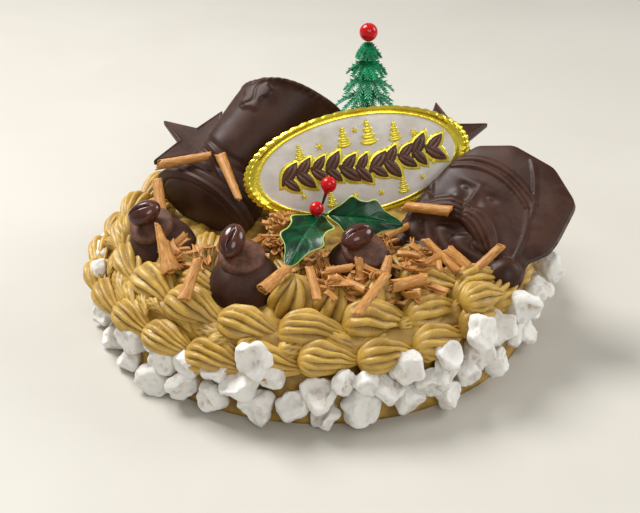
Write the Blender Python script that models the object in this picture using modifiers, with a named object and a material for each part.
# A round Christmas cake: coffee cream over a low core, two rows of piped shells, puffed grain
# around the side, and chocolate, plastic and foil decorations standing in the cream.
# Metres, +Z up. The origin is the middle of the flat base, and the front of the cake faces -Y.
import math

import bmesh
import bpy
from mathutils import Matrix, Vector

CAKE_NAME = "christmas_cake"
GAP = 0.0004
CAKE_TRIANGLES = 4800
SKIN_STEP = 0.0011
UNDERSIDE = -0.0020

CORE_BASE_RADIUS = 0.079
CORE_TOP_RADIUS = 0.0765
CORE_HEIGHT = 0.030
CORE_EDGE = 0.004

# Rings of piped shells. A ring's middle is shifted along X, and the lower one climbs towards +X.
LOWER_SHELLS = {
    "count": 27, "ring": 0.0780, "height": 0.0225, "lean": 42, "length": 0.0225,
    "width": 0.0062, "rise": 0.0062, "start": -86.2, "shift": -0.0035, "climb": 0.0035,
}
UPPER_SHELLS = {
    "count": 22, "ring": 0.0700, "height": 0.0300, "lean": 14, "length": 0.0245,
    "width": 0.0066, "rise": 0.0062, "start": -74.5, "shift": -0.0025, "climb": 0.0,
}
# Single shells further in: middle x, y, z, heading in degrees and a size against the upper row
INNER_SHELLS = (
    (0.0350, -0.0485, 0.0335, 8, 1.05),
    (-0.0475, -0.0355, 0.0322, -8, 0.92),
    (-0.0392, -0.0245, 0.0325, -80, 0.90),
    (-0.0400, -0.0475, 0.0312, -18, 0.90),
    (-0.0262, -0.0290, 0.0318, -50, 0.88),
    (-0.0100, -0.0345, 0.0312, -70, 0.88),
    (0.0000, -0.0455, 0.0312, -82, 0.88),
    (0.0300, -0.0360, 0.0314, -62, 0.90),
    (0.0520, -0.0560, 0.0330, 35, 0.80),
    (0.0520, -0.0440, 0.0322, 30, 0.88),
    (-0.0690, -0.0060, 0.0318, 100, 0.95),
    (-0.0610, 0.0080, 0.0318, 75, 0.90),
)
# Star rosettes: middle x, y, z and radius
ROSETTES = (
    (-0.0090, -0.0565, 0.0325, 0.0085),
    (0.0045, -0.0590, 0.0315, 0.0080),
    (0.0165, -0.0560, 0.0325, 0.0080),
    (-0.0130, -0.0190, 0.0290, 0.0100),
    (0.0320, -0.0260, 0.0280, 0.0080),
    (0.0000, 0.0520, 0.0300, 0.0110),
    (0.0340, 0.0560, 0.0300, 0.0105),
    (0.0580, 0.0300, 0.0320, 0.0100),
    (0.0500, 0.0400, 0.0365, 0.0100),
    (-0.0480, 0.0480, 0.0340, 0.0105),
    (-0.0160, 0.0330, 0.0290, 0.0115),
    (-0.0480, 0.0330, 0.0320, 0.0100),
)
SHELL_RIDGES = 6
ROSETTE_RIDGES = 8
RIDGE_DEPTH = 0.24
# A shell is fullest before its middle, arches between its ends and sinks towards its tail
SHELL_FORM = {"peak": 0.72, "roundness": 0.8, "head": 0.42, "arch": 0.30, "sink": 0.35}
ROSETTE_FORM = {"ridge": 0.16, "roundness": 0.8, "height": 0.75, "point": 0.30}

PUFF_RING = 0.0815
# Burst grains on the side that is seen: angle in degrees, height and half size
FRONT_PUFFS = (
    (-166, 0.0225, 0.0040), (-168, 0.0140, 0.0050), (-165, 0.0060, 0.0045), (-156, 0.0180, 0.0045),
    (-154, 0.0050, 0.0045), (-141, 0.0150, 0.0062), (-131, 0.0205, 0.0042), (-128, 0.0145, 0.0045),
    (-143, 0.0045, 0.0046), (-132, 0.0045, 0.0054), (-121, 0.0175, 0.0046), (-123, 0.0080, 0.0052),
    (-115, 0.0075, 0.0050), (-114, 0.0190, 0.0050), (-108, 0.0155, 0.0062), (-104, 0.0265, 0.0056),
    (-101, 0.0195, 0.0046), (-104, 0.0075, 0.0052), (-96, 0.0085, 0.0050), (-90, 0.0140, 0.0056),
    (-85, 0.0185, 0.0042), (-80, 0.0175, 0.0040), (-81, 0.0080, 0.0058), (-89, 0.0050, 0.0046),
    (-75, 0.0145, 0.0056), (-71, 0.0210, 0.0050), (-70, 0.0085, 0.0046), (-65, 0.0125, 0.0050),
    (-61, 0.0150, 0.0055), (-61, 0.0225, 0.0048), (-60, 0.0060, 0.0042), (-54, 0.0105, 0.0042),
    (-50, 0.0150, 0.0056), (-52, 0.0260, 0.0056), (-43, 0.0210, 0.0056), (-44, 0.0090, 0.0046),
    (-35, 0.0245, 0.0054), (-34, 0.0130, 0.0050), (-25, 0.0180, 0.0056), (-16, 0.0260, 0.0050),
    (-14, 0.0150, 0.0056), (-26, 0.0070, 0.0048),
)
BACK_PUFFS = {"first": -4.0, "last": 188.0, "step": 9.6, "heights": (0.0062, 0.0165), "size": 0.0056}
PUFF_FORM = {"thickness": 0.85, "lump": 0.12, "knob": 0.10, "dish": 0.24}
# Grains end just above the surface that the cake stands on, squashed evenly over this depth
PUFF_FLOOR = 0.02

DOME_HEIGHT = 0.0140
DOME_BASE = 0.0290
# The dome's side from its top down, as shares of its radius and height
DOME_PROFILE = (
    (0.0, 1.0), (0.30, 0.98), (0.50, 0.86), (0.76, 0.62), (0.95, 0.36), (1.0, 0.16), (0.97, 0.0), (0.0, 0.0),
)
# Each dome: middle x, y, radius, then the middle of its ganache disc and of its bean,
# the disc's lean and the bean's long axis
DOMES = (
    {"at": (-0.0559, -0.0207), "radius": 0.0122, "disc": (-0.0583, -0.0245, 0.0432),
     "disc_up": (-0.22, -0.42, 1.0), "bean": (-0.0600, -0.0268, 0.0492), "bean_axis": (0.9, 0.15, 0.42)},
    {"at": (-0.0248, -0.0464), "radius": 0.0121, "disc": (-0.0256, -0.0468, 0.0432),
     "disc_up": (0.10, -0.30, 1.0), "bean": (-0.0283, -0.0478, 0.0494), "bean_axis": (0.2, 0.75, 0.65)},
    {"at": (0.0135, -0.0362), "radius": 0.0118, "disc": (0.0148, -0.0392, 0.0416),
     "disc_up": (0.22, -0.42, 1.0), "bean": (0.0124, -0.0409, 0.0476), "bean_axis": (0.75, 0.5, 0.2)},
)
DISC_RADIUS = 0.0078
DISC_THICKNESS = 0.0052
DISC_ROUNDNESS = 0.7
BEAN_SIZE = (0.0060, 0.0043, 0.0036)
BEAN_CREASE = {"depth": 0.10, "width": 0.22}

# The bearded head: a plate leaning back, its middle, its own axes and its outline
HEAD_MIDDLE = (0.0561, -0.0221, 0.0467)
HEAD_RIGHT = (0.771, -0.619, -0.151)
HEAD_UP = (0.530, 0.491, 0.691)
HEAD_THICKNESS = 0.0050
HEAD_RINGS = 16
HEAD_EDGE = {"rounding": 0.35, "sharpness": 6}
HEAD_BRIM = {"height": 0.0130, "slope": -0.28, "droop": 12.0, "half_width": 0.0022, "rise": 0.0012}
# Nose, cheeks, the moustache's two sides, the beard's mass and the pompom:
# middle, half sizes, turn in degrees and rise
HEAD_FEATURES = (
    ((-0.0050, 0.0005), (0.0036, 0.0034), 0, 0.0024),
    ((0.0050, 0.0015), (0.0046, 0.0032), -12, 0.0012),
    ((-0.0145, 0.0040), (0.0042, 0.0030), 20, 0.0012),
    ((0.0040, -0.0070), (0.0085, 0.0032), -24, 0.0024),
    ((-0.0160, -0.0040), (0.0080, 0.0032), 26, 0.0024),
    ((-0.0080, -0.0170), (0.0120, 0.0070), 0, 0.0012),
    ((0.0190, -0.0165), (0.0055, 0.0050), 0, 0.0020),
)
HEAD_OUTLINE = (
    (-0.0240, -0.0245), (-0.0248, -0.0160), (-0.0244, -0.0050), (-0.0209, 0.0122), (-0.0156, 0.0219),
    (-0.0032, 0.0274), (0.0140, 0.0261), (0.0258, 0.0180), (0.0272, 0.0040), (0.0240, -0.0120),
    (0.0238, -0.0190), (0.0190, -0.0222), (0.0135, -0.0190), (0.0080, -0.0262), (-0.0060, -0.0285),
    (-0.0180, -0.0272),
)

# The boot lies on its side: the middle of its sole and the ways to its toe and up from the sole
BOOT_SOLE = (-0.0442, 0.0010, 0.0387)
BOOT_TOE = (0.818, -0.520, -0.240)
BOOT_SHAFT = (0.605, 0.760, 0.240)
BOOT_LENGTH = 0.0425
BOOT_WIDTH = 0.0262
# Its shaft leans: the middles of the ankle and of the cuff and the way that the cuff faces,
# in the sole's own frame
BOOT_ANKLE = (-0.0057, 0.0, 0.0116)
BOOT_CUFF = (0.0038, -0.0165, 0.0520)
CUFF_FACING = (-0.275, -0.425, 0.848)
ANKLE_RADIUS = 0.0114
CUFF_RADIUS = 0.0180
# Fused together: middle, half sizes and squareness of the sole and the foot, then of the ankle's
# fullness on the shaft, and of the cuff's rim
BOOT_SOLE_SLAB = ((0.0, 0.0, 0.0030), (0.5 * BOOT_LENGTH, 0.5 * BOOT_WIDTH, 0.0030), 0.75)
BOOT_FOOT = ((0.0015, 0.0, 0.0096), (0.45 * BOOT_LENGTH, 0.45 * BOOT_WIDTH, 0.0086), 1.0)
BOOT_INSTEP = ((0.0, 0.0, 0.0030), (0.0122, 0.0119, 0.0095), 1.0)
BOOT_RIM = ((0.0, 0.0, 0.0), (0.0188, 0.0188, 0.0022), 0.9)

PLAQUE_MIDDLE = (0.0138, -0.0004, 0.0560)
PLAQUE_YAW = 9.0
PLAQUE_LEAN = 18.0
PLAQUE_ROLL = 7.3
PLAQUE_WIDTH = 0.0840
PLAQUE_HEIGHT = 0.0394
PLAQUE_THICKNESS = 0.0018
PLAQUE_SCALLOPS = 44
# As shares of the way from the middle to the rim: where it ends, and the raised border
PLAQUE_EDGE = {"end": 0.9, "sharpness": 8, "scallop": 0.006, "rounding": 0.3, "rim": 0.7, "back": 0.0005}
PLAQUE_BORDER = {"at": 0.86, "width": 0.05, "rise": 0.0009}
PLAQUE_PICK = {"radius": 0.0011, "length": 0.0180, "from_middle": (-0.0020, -0.0060, -0.0260)}

STARS = (
    {"name": "star_left", "at": (-0.0487, 0.0450, 0.0454), "facing": (0.15, -0.32, 0.947),
     "radius": 0.0213, "inner": 0.43, "turn": 51.1},
    {"name": "star_right", "at": (0.0495, 0.0400, 0.0493), "facing": (0.30, -0.427, 0.904),
     "radius": 0.0202, "inner": 0.45, "turn": 4.8},
)
STAR_THICKNESS = 0.0030
STAR_TAPER = 0.94

TREE_AT = (0.0180, 0.0310)
TREE_BASE = 0.0240
TREE_BALL = {"height": 0.0953, "radius": 0.0034}
TREE_STICK_RADIUS = 0.0011
# Tiers from the top down: height, radius and drop of the branches
TREE_TIERS = (
    (0.0905, 0.0045, 0.0050), (0.0850, 0.0072, 0.0058), (0.0790, 0.0095, 0.0062),
    (0.0725, 0.0115, 0.0066), (0.0655, 0.0122, 0.0070), (0.0580, 0.0138, 0.0072),
)
TREE_BRANCHES = 7
# Between the branches a tier is drawn in and lifted, and each tier is turned against the last
TREE_FORM = {"drawn_in": 0.40, "lifted": 0.35, "turn": 0.75}

HOLLY_CROWN = (0.0012, -0.0225, 0.0465)
HOLLY_LEAVES = (
    {"name": "holly_leaf_left", "tip": (-0.0106, -0.0510, 0.0420), "width": 0.0170,
     "facing": (-0.15, -0.62, 0.77)},
    {"name": "holly_leaf_right", "tip": (0.0285, -0.0265, 0.0445), "width": 0.0150,
     "facing": (0.05, -0.75, 0.66)},
)
LEAF_THICKNESS = 0.0006
# A leaf's stalk, its spines and its waves: counts are half turns along the leaf
LEAF_FORM = {"stalk": 0.0015, "stalk_width": 0.06, "fullest": 0.85, "spine_mean": 0.74, "spine_depth": 0.26,
             "spines": 6, "spine_start": 0.3, "arch": 0.0015, "wave": 0.0012, "waves": 5}
HOLLY_BERRIES = (
    {"name": "holly_berry_upper", "at": (0.0030, -0.0185, 0.0560), "radius": 0.0028,
     "tail": (0.0002, -0.0212, 0.0476)},
    {"name": "holly_berry_lower", "at": (-0.0012, -0.0262, 0.0505), "radius": 0.0025,
     "tail": (-0.0002, -0.0222, 0.0486)},
)
BERRY_FORM = {"shoulder": 0.55, "below": 0.9, "stalk": 0.32}
HOLLY_STEM = {"radius": 0.0007, "bottom": (0.0012, -0.0175, 0.0290)}

# Chocolate rolls: name, middle, heading and pitch in degrees, length, radius at each end, turns.
# The turns are whole eighths, so that the coils of one roll lie flat on each other.
ROLLS = (
    ("roll_boot_heel", (-0.0500, 0.0040, 0.0552), 10, 7, 0.0190, 0.0020, 0.0016, 0.875),
    ("roll_boot_side", (-0.0327, -0.0052, 0.0532), -68, -22, 0.0230, 0.0022, 0.0012, 0.875),
    ("roll_behind_dome", (-0.0575, -0.0107, 0.0484), -77, -35, 0.0130, 0.0018, 0.0020, 1.25),
    ("roll_standing_cone", (-0.0520, -0.0400, 0.0425), -66, -42, 0.0170, 0.0008, 0.0036, 0.875),
    ("roll_leaning_front", (-0.0410, -0.0580, 0.0412), -108, -36, 0.0150, 0.0014, 0.0024, 0.875),
    ("roll_on_dome", (-0.0140, -0.0595, 0.0422), -128, -12, 0.0130, 0.0016, 0.0025, 0.875),
    ("roll_front_left", (-0.0022, -0.0605, 0.0412), -76, -25, 0.0125, 0.0014, 0.0016, 0.875),
    ("roll_front_middle", (0.0060, -0.0548, 0.0428), 6, 6, 0.0090, 0.0013, 0.0013, 0.875),
    ("roll_upright", (0.0126, -0.0545, 0.0425), -80, -62, 0.0078, 0.0013, 0.0017, 0.875),
    ("roll_front_right", (0.0110, -0.0615, 0.0406), -44, 2, 0.0085, 0.0014, 0.0014, 0.875),
    ("roll_long_front", (0.0160, -0.0690, 0.0424), -118, -8, 0.0220, 0.0015, 0.0017, 0.875),
    ("roll_scroll", (0.0278, -0.0585, 0.0398), 11, 8, 0.0115, 0.0024, 0.0020, 1.875),
    ("roll_small_cone", (0.0215, -0.0495, 0.0408), -110, -40, 0.0080, 0.0012, 0.0021, 0.875),
    ("roll_thin_right", (0.0400, -0.0420, 0.0410), -48, -22, 0.0160, 0.0013, 0.0014, 0.875),
    ("roll_dark_flake", (0.0455, -0.0400, 0.0382), -40, -20, 0.0095, 0.0030, 0.0024, 0.75),
    ("roll_standing_right", (0.0560, -0.0422, 0.0400), -160, -40, 0.0120, 0.0016, 0.0018, 0.875),
    ("roll_on_beard", (0.0376, -0.0178, 0.0462), -25, 5, 0.0170, 0.0019, 0.0021, 1.25),
    ("roll_pile_left", (-0.0115, -0.0285, 0.0388), -70, -8, 0.0190, 0.0019, 0.0022, 1.25),
    ("roll_pile_back", (-0.0135, -0.0165, 0.0396), -20, -8, 0.0110, 0.0015, 0.0015, 0.875),
    ("roll_pile_right", (0.0268, -0.0210, 0.0388), 40, 4, 0.0110, 0.0013, 0.0013, 0.875),
)
ROLL_SHEET = 0.0004
ROLL_STEPS = 8
ROLL_TIGHTENING = 0.35
ROLL_SLANT = 0.06

CREAM = (0.56, 0.36, 0.13)
DARK_CHOCOLATE = (0.055, 0.026, 0.016)
MILK_CHOCOLATE = (0.42, 0.19, 0.075)
GANACHE = (0.18, 0.075, 0.035)
BEAN_BROWN = (0.035, 0.010, 0.007)
GOLD = (0.80, 0.66, 0.12)
LEAF_GREEN = (0.012, 0.16, 0.035)
TREE_GREEN = (0.02, 0.22, 0.10)
RED = (0.62, 0.012, 0.012)


def new_collection(name):
    group = bpy.data.collections.new(name)
    bpy.context.scene.collection.children.link(group)
    return group


def new_material(name, color, roughness, metallic=0.0):
    material = bpy.data.materials.new(name)
    material.use_nodes = True
    shader = material.node_tree.nodes["Principled BSDF"]
    shader.inputs["Base Color"].default_value = (*color, 1.0)
    shader.inputs["Roughness"].default_value = roughness
    shader.inputs["Metallic"].default_value = metallic
    return material


def clear_scene():
    for old in list(bpy.data.objects):
        bpy.data.objects.remove(old, do_unlink=True)


def to_object(form, name, group, material=None):
    """A bmesh becomes a smooth-shaded object in a collection."""
    mesh = bpy.data.meshes.new(name)
    form.to_mesh(mesh)
    form.free()
    mesh.shade_smooth()
    mesh.set_sharp_from_angle(angle=math.radians(40))
    made = bpy.data.objects.new(name, mesh)
    group.objects.link(made)
    if material:
        mesh.materials.append(material)
    return made


def placing(middle, x_axis, up):
    """Matrix with local X along x_axis and local Z as near to up as it can be."""
    along = Vector(x_axis).normalized()
    side = Vector(up).cross(along).normalized()
    above = along.cross(side)
    turn = Matrix((along, side, above)).transposed().to_4x4()
    return Matrix.Translation(Vector(middle)) @ turn


def heading(degrees, pitch=0.0):
    flat = math.cos(math.radians(pitch))
    angle = math.radians(degrees)
    return Vector((math.cos(angle) * flat, math.sin(angle) * flat, math.sin(math.radians(pitch))))


def unevenness(index, salt):
    """A repeatable value from -1 to 1 that differs from piece to piece."""
    return math.sin(12.9 * index + 4.1 * salt + 1.7 * math.sin(7.3 * index))


def ball(segments, rings):
    form = bmesh.new()
    bmesh.ops.create_uvsphere(form, u_segments=segments, v_segments=rings, radius=1.0)
    return form


def polar(point):
    """Fraction of the way from the top pole to the bottom one, and the angle about the axis."""
    height = max(-1.0, min(1.0, point.z))
    return math.acos(height) / math.pi, math.atan2(point.y, point.x)


def piped_shell(length, width, rise, segments=12, rings=6):
    """One pull of cream: a fat ridged head at -X that tapers and sinks to a tail at +X."""
    shape = SHELL_FORM
    form = ball(segments, rings)
    for vertex in form.verts:
        along, around = polar(vertex.co)
        fullness = max(0.0, math.sin(math.pi * along ** shape["peak"])) ** shape["roundness"]
        ridge = 1 - RIDGE_DEPTH + RIDGE_DEPTH * abs(math.cos(SHELL_RIDGES * around / 2))
        reach = fullness * ridge
        lift = shape["arch"] * math.sin(math.pi * along) - shape["sink"] * along
        vertex.co = (
            length * (along - shape["head"]),
            -width * reach * math.cos(around),
            rise * (reach * math.sin(around) + lift),
        )
    return form


def rosette(radius, segments=16, rings=4):
    """A star-nozzle drop: a low ridged mound that comes to a point."""
    shape = ROSETTE_FORM
    form = ball(segments, rings)
    for vertex in form.verts:
        along, around = polar(vertex.co)
        ridge = 1 - shape["ridge"] + shape["ridge"] * math.cos(ROSETTE_RIDGES * around)
        reach = radius * ridge * math.sin(math.pi * along) ** shape["roundness"]
        height = radius * (shape["height"] * math.cos(math.pi * along) + shape["point"] * (1 - along) ** 3)
        vertex.co = (reach * math.cos(around), reach * math.sin(around), height)
    return form


def puff(size, index):
    """A burst grain: a lumpy flattened knob, a little hollow on the side that faces out."""
    shape = PUFF_FORM
    form = ball(6, 4)
    for vertex in form.verts:
        direction = vertex.co.normalized()
        lump = 1 + shape["lump"] * math.sin(3.1 * direction.x + 5.3 * direction.z + index)
        lump += shape["knob"] * math.sin(4.7 * direction.y - 3.9 * direction.z + 2.3 * index)
        dish = shape["dish"] * max(0.0, direction.x) ** 4
        vertex.co = direction * size * (lump - dish)
        vertex.co.x *= shape["thickness"]
    return form


def piped_shells(group):
    for row in (LOWER_SHELLS, UPPER_SHELLS):
        for index in range(row["count"]):
            angle = math.radians(row["start"] + 360 * index / row["count"])
            outward = Vector((math.cos(angle), math.sin(angle), 0.0))
            ahead = Vector((-outward.y, outward.x, 0.0))
            lean = math.radians(row["lean"])
            up = outward * math.sin(lean) + Vector((0, 0, math.cos(lean)))
            size = 1 + 0.07 * unevenness(index, row["count"])
            ring = row["ring"] + 0.0010 * unevenness(index, 3)
            height = row["height"] + row["climb"] * outward.x + 0.0009 * unevenness(index, 5)
            middle = outward * ring + Vector((row["shift"], 0, height))
            form = piped_shell(row["length"], row["width"] * size, row["rise"] * size)
            form.transform(placing(middle, ahead, up))
            to_object(form, "shell", group)
    for x, y, z, degrees, size in INNER_SHELLS:
        row = UPPER_SHELLS
        form = piped_shell(row["length"] * size, row["width"] * size, row["rise"] * size)
        form.transform(placing((x, y, z), heading(degrees), (0, 0, 1)))
        to_object(form, "shell", group)
    for x, y, z, radius in ROSETTES:
        form = rosette(radius)
        form.transform(Matrix.Translation((x, y, z)))
        to_object(form, "rosette", group)


def puff_spots():
    """Angle in degrees, height and size of each burst grain around the side."""
    spots = list(FRONT_PUFFS)
    for number, height in enumerate(BACK_PUFFS["heights"]):
        steps = int((BACK_PUFFS["last"] - BACK_PUFFS["first"]) / BACK_PUFFS["step"])
        for index in range(steps):
            degrees = BACK_PUFFS["first"] + BACK_PUFFS["step"] * (index + 0.5 * number)
            degrees += 2.0 * unevenness(index, number)
            size = BACK_PUFFS["size"] * (1 + 0.14 * unevenness(index, 2 + number))
            spots.append((degrees, height + 0.0014 * unevenness(index, 4 + number), size))
    return spots


def puffs(group):
    for index, (degrees, height, size) in enumerate(puff_spots()):
        angle = math.radians(degrees)
        ring = PUFF_RING + 0.0008 * unevenness(index, 9)
        form = puff(size, index)
        form.transform(Matrix.Rotation(angle, 4, "Z"))
        form.transform(Matrix.Translation((ring * math.cos(angle), ring * math.sin(angle), height)))
        for vertex in form.verts:
            vertex.co.z = max(vertex.co.z, 2 * GAP * (1 - vertex.co.z / PUFF_FLOOR))
        to_object(form, "puff", group)


def core_profile():
    """The side of the core from the top's middle, over a rounded edge, down to the base."""
    points = [(0.0, CORE_HEIGHT)]
    for step in range(4):
        angle = math.radians(90 - 30 * step)
        reach = CORE_TOP_RADIUS - CORE_EDGE + CORE_EDGE * math.cos(angle)
        points.append((reach, CORE_HEIGHT - CORE_EDGE + CORE_EDGE * math.sin(angle)))
    points.append((CORE_BASE_RADIUS, UNDERSIDE))
    points.append((0.0, UNDERSIDE))
    return points


def turned(profile, steps):
    """A closed profile in the XZ plane, from its top to its bottom, turned about Z."""
    form = bmesh.new()
    corners = [form.verts.new((reach, 0.0, height)) for reach, height in profile]
    edges = [form.edges.new(pair) for pair in zip(corners, corners[1:])]
    bmesh.ops.spin(
        form, geom=corners + edges, cent=(0, 0, 0), axis=(0, 0, 1), angle=math.tau, steps=steps,
        use_merge=True,
    )
    bmesh.ops.remove_doubles(form, verts=form.verts[:], dist=1e-6)
    bmesh.ops.recalc_face_normals(form, faces=form.faces[:])
    return form


def evaluated(obj):
    graph = bpy.context.evaluated_depsgraph_get()
    return bpy.data.meshes.new_from_object(obj.evaluated_get(graph))


def combine(obj, group, operation):
    """Join or cut an object with a whole collection, which is then emptied."""
    step = obj.modifiers.new(operation.lower(), "BOOLEAN")
    step.operation = operation
    step.operand_type = "COLLECTION"
    step.collection = group
    result = evaluated(obj)
    obj.modifiers.clear()
    materials = list(obj.data.materials)
    obj.data = result
    result.materials.clear()
    for material in materials:
        result.materials.append(material)
    for used in list(group.objects):
        bpy.data.objects.remove(used, do_unlink=True)
    keep_largest(obj.data)


def keep_largest(mesh):
    """Drop loose scraps and the skins of sealed hollows, which fills those hollows."""
    form = bmesh.new()
    form.from_mesh(mesh)
    bmesh.ops.triangulate(form, faces=form.faces[:])
    bmesh.ops.dissolve_degenerate(form, edges=form.edges[:], dist=2e-6)
    unseen = set(form.verts)
    bodies = []
    while unseen:
        body = {unseen.pop()}
        edge_of_body = list(body)
        while edge_of_body:
            vertex = edge_of_body.pop()
            near = {edge.other_vert(vertex) for edge in vertex.link_edges} & unseen
            unseen -= near
            body |= near
            edge_of_body.extend(near)
        bodies.append(body)
    largest = max(bodies, key=len)
    scraps = [vertex for vertex in form.verts if vertex not in largest]
    bmesh.ops.delete(form, geom=scraps, context="VERTS")
    form.to_mesh(mesh)
    form.free()


def even_out(obj, triangles):
    """Replace the slivers that a union leaves with an even skin of a number of triangles."""
    step = obj.modifiers.new("skin", "REMESH")
    step.mode = "VOXEL"
    step.voxel_size = SKIN_STEP
    obj.data = evaluated(obj)
    obj.modifiers.clear()
    keep_largest(obj.data)
    step = obj.modifiers.new("fewer", "DECIMATE")
    step.ratio = triangles / len(obj.data.polygons)
    obj.data = evaluated(obj)
    obj.modifiers.clear()
    keep_largest(obj.data)


def flat_base(group):
    """The slab below the cake that its base is cut level with."""
    form = bmesh.new()
    bmesh.ops.create_cube(form, size=1.0)
    form.transform(Matrix.Diagonal((3 * CORE_BASE_RADIUS, 3 * CORE_BASE_RADIUS, 0.02, 1.0)))
    form.transform(Matrix.Translation((0, 0, -0.01)))
    to_object(form, "slab", group)


def grown_copy(obj, group, amount=GAP):
    """A copy swollen along its normals, to cut the seat that the object sits in."""
    mesh = evaluated(obj)
    form = bmesh.new()
    form.from_mesh(mesh)
    form.transform(obj.matrix_world)
    form.normal_update()
    moved = {vertex: vertex.co + vertex.normal * amount for vertex in form.verts}
    for vertex, place in moved.items():
        vertex.co = place
    cutter = to_object(form, "cutter", group)
    cutter.hide_render = True
    cutter.display_type = "WIRE"


def seat(obj, pieces, group):
    """Cut the room that other pieces need out of an object."""
    for piece in pieces:
        grown_copy(piece, group)
    combine(obj, group, "DIFFERENCE")


def chocolate_domes(group, cutters):
    made = []
    dark = new_material("dark_chocolate_dome", DARK_CHOCOLATE, 0.45)
    brown = new_material("ganache", GANACHE, 0.6)
    shine = new_material("coffee_bean", BEAN_BROWN, 0.15)
    for number, dome in enumerate(DOMES, start=1):
        form = turned([(dome["radius"] * out, DOME_HEIGHT * up) for out, up in DOME_PROFILE], 12)
        form.transform(Matrix.Translation((*dome["at"], DOME_BASE)))
        body = to_object(form, f"chocolate_dome_{number}", group, dark)

        form = ball(12, 6)
        for vertex in form.verts:
            rounded = math.copysign(abs(vertex.co.z) ** DISC_ROUNDNESS, vertex.co.z)
            vertex.co.z = 0.5 * DISC_THICKNESS * rounded
            vertex.co.x *= DISC_RADIUS
            vertex.co.y *= DISC_RADIUS
        form.transform(placing(dome["disc"], (1, 0, -dome["disc_up"][0]), dome["disc_up"]))
        disc = to_object(form, f"ganache_disc_{number}", group, brown)

        form = ball(10, 6)
        for vertex in form.verts:
            x, y, z = vertex.co
            crease = BEAN_CREASE["depth"] * max(0.0, z) * math.exp(-((y / BEAN_CREASE["width"]) ** 2))
            vertex.co = (x * BEAN_SIZE[0], y * BEAN_SIZE[1], (z - crease) * BEAN_SIZE[2])
        form.transform(placing(dome["bean"], dome["bean_axis"], (0, -0.4, 1)))
        bean = to_object(form, f"coffee_bean_{number}", group, shine)
        seat(disc, [bean], cutters)
        seat(body, [disc, bean], cutters)
        made += [body, disc, bean]
    return made


def outline_reach(outline, angle):
    """Distance from the middle to a closed outline of chosen points, in one direction."""
    corners = sorted((math.atan2(y, x), math.hypot(x, y)) for x, y in outline)
    for index, (end, _) in enumerate(corners):
        if angle < end:
            break
    else:
        index = 0
    before, after = corners[index - 1], corners[index]
    span = (after[0] - before[0]) % math.tau
    share = ((angle - before[0]) % math.tau) / span
    ax, ay = before[1], 0.0
    bx, by = after[1] * math.cos(span), after[1] * math.sin(span)
    turn = share * span
    cross = ax * by - ay * bx
    return cross / ((bx - ax) * -math.sin(turn) + (by - ay) * math.cos(turn))


def bump(x, y, at, size, turn=0.0):
    """A soft round-topped rise of height 1, at a place and with two half sizes."""
    c, s = math.cos(math.radians(turn)), math.sin(math.radians(turn))
    u = ((x - at[0]) * c + (y - at[1]) * s) / size[0]
    v = (-(x - at[0]) * s + (y - at[1]) * c) / size[1]
    return math.exp(-(u * u + v * v))


def head_relief(x, y):
    """Height of the head's front over its flat back: hat, brim, nose, moustache and beard."""
    height = HEAD_THICKNESS
    brim = y - HEAD_BRIM["height"] - HEAD_BRIM["slope"] * x + HEAD_BRIM["droop"] * x * x
    height += HEAD_BRIM["rise"] * math.exp(-((brim / HEAD_BRIM["half_width"]) ** 2))
    for at, size, turn, rise in HEAD_FEATURES:
        height += rise * bump(x, y, at, size, turn)
    return height


def bearded_head(group):
    form = ball(36, HEAD_RINGS)
    edge_ring = 1 - 2 / HEAD_RINGS
    for vertex in form.verts:
        along, around = polar(vertex.co)
        front = along < 0.5
        share = min(1.0, 2 * (along if front else 1 - along) / edge_ring)
        reach = outline_reach(HEAD_OUTLINE, around) * share
        x, y = reach * math.cos(around), reach * math.sin(around)
        if front:
            z = head_relief(x, y) * (1 - HEAD_EDGE["rounding"] * share ** HEAD_EDGE["sharpness"])
        else:
            z = 0.0
        vertex.co = (x, y, z)
    right = Vector(HEAD_RIGHT)
    facing = right.cross(Vector(HEAD_UP))
    form.transform(placing(Vector(HEAD_MIDDLE) - facing.normalized() * HEAD_THICKNESS, right, facing))
    return to_object(form, "bearded_head", group, new_material("head_chocolate", DARK_CHOCOLATE, 0.4))


def boot_part(group, middle, size, squareness, frame):
    form = ball(16, 8)
    for vertex in form.verts:
        vertex.co = [
            math.copysign(abs(value) ** squareness, value) * half for value, half in zip(vertex.co, size)
        ]
        vertex.co += Vector(middle)
    form.transform(frame)
    to_object(form, "boot_part", group)


def chocolate_boot(group, cutters):
    """A boot lying on its side: local X to the toe, local Z up from the sole."""
    foot = placing(BOOT_SOLE, BOOT_TOE, BOOT_SHAFT)
    up_shaft = Vector(BOOT_CUFF) - Vector(BOOT_ANKLE)
    across = up_shaft.orthogonal()
    shaft = foot @ placing(BOOT_ANKLE, across, up_shaft)
    cuff = foot @ placing(BOOT_CUFF, Vector(CUFF_FACING).orthogonal(), CUFF_FACING)
    slant = placing((0, 0, 0), across, up_shaft).inverted() @ Vector(CUFF_FACING)

    form = bmesh.new()
    bmesh.ops.create_cone(
        form, cap_ends=True, segments=18, radius1=ANKLE_RADIUS, radius2=CUFF_RADIUS, depth=up_shaft.length
    )
    form.transform(Matrix.Translation((0, 0, 0.5 * up_shaft.length)))
    for vertex in form.verts:
        if vertex.co.z > 0.5 * up_shaft.length:
            vertex.co.z -= (slant.x * vertex.co.x + slant.y * vertex.co.y) / slant.z
    form.transform(shaft)
    boot = to_object(form, "chocolate_boot", group, new_material("boot_chocolate", DARK_CHOCOLATE, 0.4))
    boot_part(cutters, *BOOT_SOLE_SLAB, foot)
    boot_part(cutters, *BOOT_FOOT, foot)
    boot_part(cutters, *BOOT_INSTEP, shaft)
    boot_part(cutters, *BOOT_RIM, cuff)
    combine(boot, cutters, "UNION")
    return boot


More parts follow.
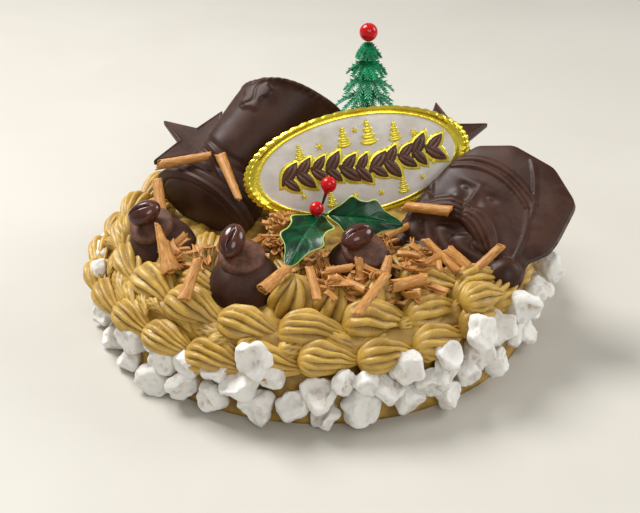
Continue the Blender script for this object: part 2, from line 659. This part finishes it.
def plaque_frame():
    yaw, lean = math.radians(PLAQUE_YAW), math.radians(PLAQUE_LEAN)
    facing = Vector((math.sin(yaw) * math.cos(lean), -math.cos(yaw) * math.cos(lean), math.sin(lean)))
    level = Vector((math.cos(yaw), math.sin(yaw), 0.0))
    along = Matrix.Rotation(math.radians(PLAQUE_ROLL), 3, facing) @ level
    return placing(PLAQUE_MIDDLE, along, facing)


def oval_plaque(group, cutters):
    edge = PLAQUE_EDGE
    form = ball(PLAQUE_SCALLOPS, 8)
    for vertex in form.verts:
        along, around = polar(vertex.co)
        front = along < 0.5
        share = min(1.0, 2 * (along if front else 1 - along) / edge["end"])
        near_rim = share ** edge["sharpness"]
        scallop = 1 + edge["scallop"] * math.cos(PLAQUE_SCALLOPS * around / 2) * near_rim
        from_border = (share - PLAQUE_BORDER["at"]) / PLAQUE_BORDER["width"]
        border = PLAQUE_BORDER["rise"] * math.exp(-(from_border ** 2))
        height = PLAQUE_THICKNESS * (1 - edge["rounding"] * near_rim) + border if front else 0.0
        if share == 1.0:
            height = PLAQUE_THICKNESS * edge["rim"] if front else edge["back"]
        vertex.co = (
            0.5 * PLAQUE_WIDTH * share * scallop * math.cos(around),
            0.5 * PLAQUE_HEIGHT * share * scallop * math.sin(around),
            height - 0.5 * PLAQUE_THICKNESS,
        )
    form.transform(plaque_frame())
    plaque = to_object(form, "oval_plaque", group, new_material("gold_foil", GOLD, 0.25, 0.9))

    pick = PLAQUE_PICK
    form = bmesh.new()
    bmesh.ops.create_cone(
        form, cap_ends=True, segments=8, radius1=pick["radius"] * 0.4, radius2=pick["radius"],
        depth=pick["length"],
    )
    form.transform(Matrix.Translation(Vector(PLAQUE_MIDDLE) + Vector(pick["from_middle"])))
    to_object(form, "pick", cutters)
    combine(plaque, cutters, "UNION")
    return plaque


def chocolate_star(group, star):
    form = bmesh.new()
    bmesh.ops.create_cone(
        form, cap_ends=True, segments=10, radius1=star["radius"], radius2=star["radius"] * STAR_TAPER,
        depth=STAR_THICKNESS,
    )
    for vertex in form.verts:
        corner = round((math.degrees(math.atan2(vertex.co.y, vertex.co.x)) - 90) / 36)
        if corner % 2:
            vertex.co.x *= star["inner"]
            vertex.co.y *= star["inner"]
    form.transform(Matrix.Rotation(math.radians(star["turn"]), 4, "Z"))
    form.transform(placing(star["at"], (1, 0, 0), star["facing"]))
    return to_object(form, star["name"], group, new_material(star["name"], DARK_CHOCOLATE, 0.4))


def plastic_tree(group, cutters):
    top = TREE_BALL["height"] - TREE_BALL["radius"] - GAP
    form = bmesh.new()
    bmesh.ops.create_cone(
        form, cap_ends=True, segments=8, radius1=TREE_STICK_RADIUS, radius2=TREE_STICK_RADIUS * 0.6,
        depth=top - TREE_BASE,
    )
    form.transform(Matrix.Translation((*TREE_AT, 0.5 * (top + TREE_BASE))))
    tree = to_object(form, "plastic_tree", group, new_material("tree_green", TREE_GREEN, 0.35))
    for number, (height, radius, drop) in enumerate(TREE_TIERS):
        form = bmesh.new()
        bmesh.ops.create_cone(
            form, cap_ends=True, segments=2 * TREE_BRANCHES, radius1=radius, radius2=0.0, depth=drop
        )
        for vertex in form.verts:
            angle = math.degrees(math.atan2(vertex.co.y, vertex.co.x))
            if vertex.co.length > 0.5 * radius and round((angle - 90) * TREE_BRANCHES / 180) % 2:
                vertex.co.x *= TREE_FORM["drawn_in"]
                vertex.co.y *= TREE_FORM["drawn_in"]
                vertex.co.z += TREE_FORM["lifted"] * drop
        form.transform(Matrix.Rotation(TREE_FORM["turn"] * number, 4, "Z"))
        form.transform(Matrix.Translation((*TREE_AT, height - 0.5 * drop)))
        to_object(form, "tier", cutters)
    combine(tree, cutters, "UNION")

    form = ball(12, 8)
    form.transform(Matrix.Scale(TREE_BALL["radius"], 4))
    form.transform(Matrix.Translation((*TREE_AT, TREE_BALL["height"])))
    red_ball = to_object(form, "tree_ball", group, new_material("tree_ball_red", RED, 0.2))
    return [tree, red_ball]


def holly_leaf(group, leaf):
    """A thin leaf with three pairs of spines, arched along its length."""
    crown, tip = Vector(HOLLY_CROWN), Vector(leaf["tip"])
    shape = LEAF_FORM
    length = (tip - crown).length - shape["stalk"]
    form = bmesh.new()
    bmesh.ops.create_grid(form, x_segments=8, y_segments=4, size=1.0)
    for vertex in form.verts:
        along = 0.5 * (vertex.co.x + 1)
        across = vertex.co.y
        toothed = math.cos(math.pi * (shape["spines"] * along + shape["spine_start"])) * abs(across)
        spine = shape["spine_mean"] + shape["spine_depth"] * toothed
        fullness = shape["stalk_width"] + math.sin(math.pi * along ** shape["fullest"])
        width = 0.5 * leaf["width"] * fullness * spine
        lift = shape["arch"] * math.sin(math.pi * along)
        lift += shape["wave"] * abs(across) * math.sin(shape["waves"] * along)
        vertex.co = (shape["stalk"] + length * along, width * across, lift)
    form.transform(placing(crown, tip - crown, leaf["facing"]))
    made = to_object(form, leaf["name"], group, new_material(leaf["name"], LEAF_GREEN, 0.3))
    skin = made.modifiers.new("thickness", "SOLIDIFY")
    skin.thickness = LEAF_THICKNESS
    skin.offset = 0.0
    return made


def berry(group, one):
    """A drop-shaped berry whose tail runs to the crown of the leaves."""
    middle, tail = Vector(one["at"]), Vector(one["tail"])
    form = ball(10, 8)
    shape = BERRY_FORM
    reach = (tail - middle).length / one["radius"]
    for vertex in form.verts:
        x, y, z = vertex.co
        if z < -shape["shoulder"]:
            share = (-shape["shoulder"] - z) / (1 - shape["shoulder"])
            z = -shape["below"] - share * (reach - shape["below"])
            x *= shape["stalk"]
            y *= shape["stalk"]
        vertex.co = Vector((x, y, z)) * one["radius"]
    away = (middle - tail).normalized()
    form.transform(placing(middle, away.orthogonal(), away))
    return to_object(form, one["name"], group, new_material(one["name"], RED, 0.2))


def holly_stem(group):
    top, bottom = Vector(HOLLY_CROWN), Vector(HOLLY_STEM["bottom"])
    form = bmesh.new()
    radius = HOLLY_STEM["radius"]
    bmesh.ops.create_cone(
        form, cap_ends=True, segments=8, radius1=radius * 0.6, radius2=radius, depth=(top - bottom).length
    )
    form.transform(placing((top + bottom) / 2, (top - bottom).orthogonal(), top - bottom))
    return to_object(form, "holly_stem", group, new_material("holly_stem", LEAF_GREEN, 0.4))


def chocolate_roll(group, material, name, middle, degrees, pitch, length, start, end, turns):
    """A curled shaving: a thin sheet wound about its own axis, wider at one end."""
    form = bmesh.new()
    bmesh.ops.create_grid(form, x_segments=round(ROLL_STEPS * turns), y_segments=1, size=1.0)
    for vertex in form.verts:
        wind = 0.5 * (vertex.co.x + 1)
        along = 0.5 * (vertex.co.y + 1)
        radius = (start + (end - start) * along) * (1 - ROLL_TIGHTENING * turns * wind)
        angle = math.tau * turns * wind
        slant = ROLL_SLANT * length * math.sin(angle)
        vertex.co = (length * (along - 0.5) + slant, radius * math.cos(angle), radius * math.sin(angle))
    form.transform(placing(middle, heading(degrees, pitch), (0, 0, 1)))
    made = to_object(form, name, group, material)
    skin = made.modifiers.new("thickness", "SOLIDIFY")
    skin.thickness = ROLL_SHEET
    skin.offset = 0.0
    return made


def build():
    clear_scene()
    parts = new_collection(CAKE_NAME)
    cutters = new_collection("joined_and_cut_away")

    form = turned(core_profile(), 72)
    cake = to_object(form, "cake", parts, new_material("cream", CREAM, 0.5))
    piped_shells(cutters)
    puffs(cutters)
    combine(cake, cutters, "UNION")
    even_out(cake, CAKE_TRIANGLES)

    toppings = chocolate_domes(parts, cutters)
    toppings.append(bearded_head(parts))
    toppings.append(chocolate_boot(parts, cutters))
    toppings.append(oval_plaque(parts, cutters))
    toppings += [chocolate_star(parts, star) for star in STARS]
    toppings += plastic_tree(parts, cutters)
    toppings += [holly_leaf(parts, leaf) for leaf in HOLLY_LEAVES]
    toppings += [berry(parts, one) for one in HOLLY_BERRIES]
    toppings.append(holly_stem(parts))
    milk = new_material("milk_chocolate", MILK_CHOCOLATE, 0.5)
    toppings += [chocolate_roll(parts, milk, *roll) for roll in ROLLS]
    flat_base(cutters)
    seat(cake, toppings, cutters)


build()
